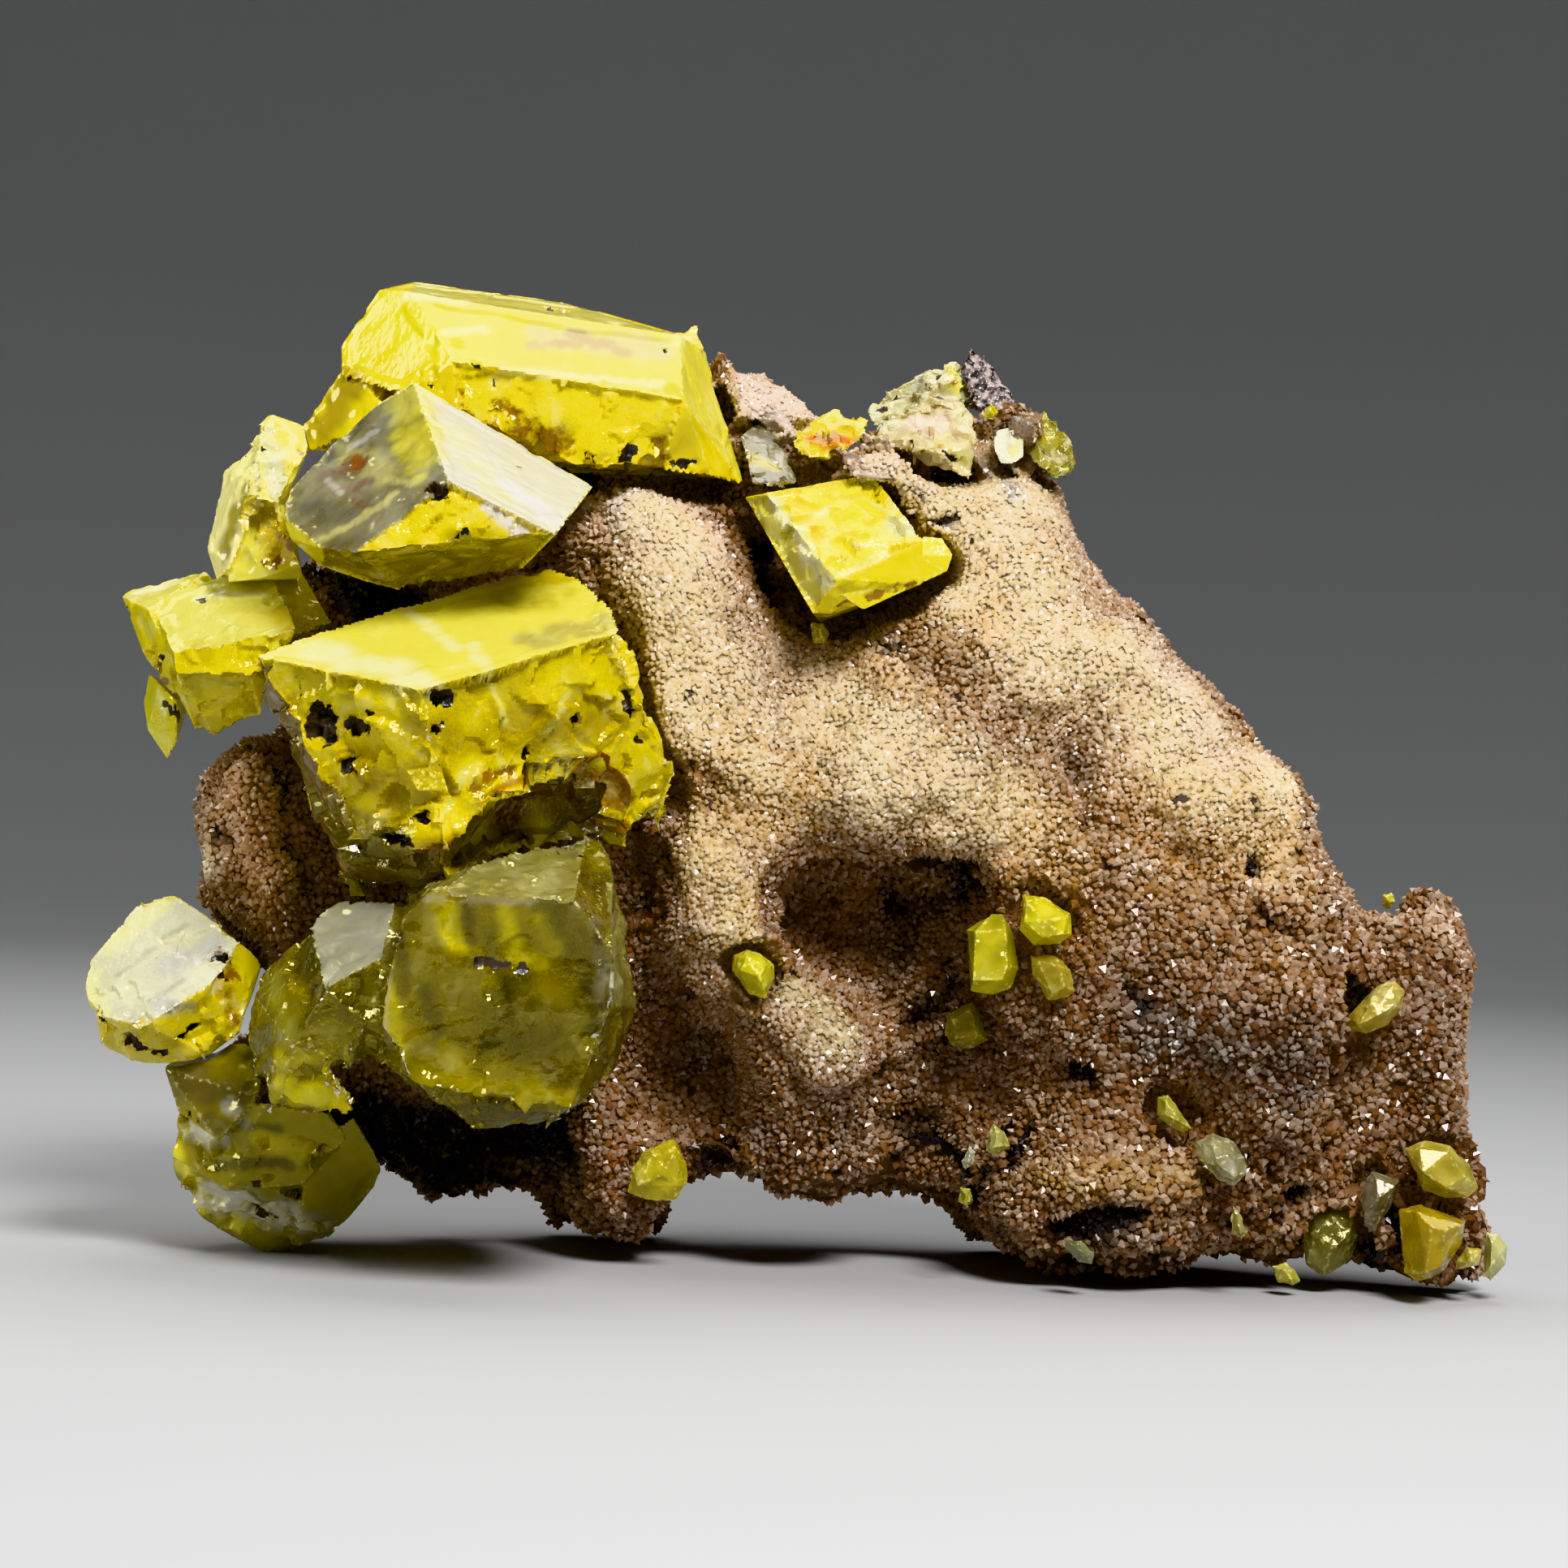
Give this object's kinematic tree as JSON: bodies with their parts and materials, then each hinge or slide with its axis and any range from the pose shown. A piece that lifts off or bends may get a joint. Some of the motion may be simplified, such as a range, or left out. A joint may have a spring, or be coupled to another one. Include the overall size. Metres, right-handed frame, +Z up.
{
  "type": "sulfur crystal specimen",
  "caption": "Loose mineral specimen: large yellow sulfur crystals grown on a lumpy matrix coated with small pointed crystals, made to stand on a shelf.",
  "frame": {"origin": "bottom centre of the bounding box, on the surface that the specimen rests on", "axes": "+X to the viewer's right along the specimen, +Y to its back, +Z up"},
  "size_m": [0.1358, 0.0612, 0.0928],
  "materials": {
    "druse": "sparkling druse of small pointed crystals, beige to brown, black in the crevices",
    "lemon": "translucent lemon-yellow sulfur, glossy growth faces and greasy fractures",
    "pale": "milky pale-yellow sulfur with etched faces",
    "olive": "clear olive-yellow sulfur, glossy",
    "amber": "clear amber-brown sulfur, glossy",
    "smoke": "grey to smoky clear crystal, glossy"
  },
  "bodies": {
    "root": {"matrix": "druse", "peak_crust": "druse", "great_crystal": "lemon", "gable_crystal": "lemon", "crown_crystal": "lemon", "ledge_crystal": "lemon", "tail_crystal": "lemon", "window_crystal": "lemon", "bead_crystal": "lemon", "slope_prism": "lemon", "slope_block": "lemon", "lobe_crystal": "lemon", "ravine_bead": "lemon", "base_bead": "lemon", "window_chip": "lemon", "gap_bead": "lemon", "peak_bead": "lemon", "shoulder_cluster": "pale", "pale_crystal": "pale", "cream_crystal": "pale", "back_crystal": "pale", "pearl_crystal": "pale", "edge_crystal": "pale", "shelf_blade": "pale", "shelf_chip": "pale", "ravine_chip": "pale", "side_chip": "pale", "barrel_crystal": "olive", "foot_cluster": "olive", "green_crystal": "olive", "dull_blade": "olive", "dull_wedge": "olive", "base_crystal": "olive", "amber_crystal": "amber", "cleft_crystal": "amber", "corner_crystal": "amber", "corner_prism": "amber", "corner_chip": "amber", "smoky_crystal": "smoke", "corner_stub": "smoke", "shelf_cluster": "smoke", "under_chip": "smoke"}
  },
  "joints": []
}
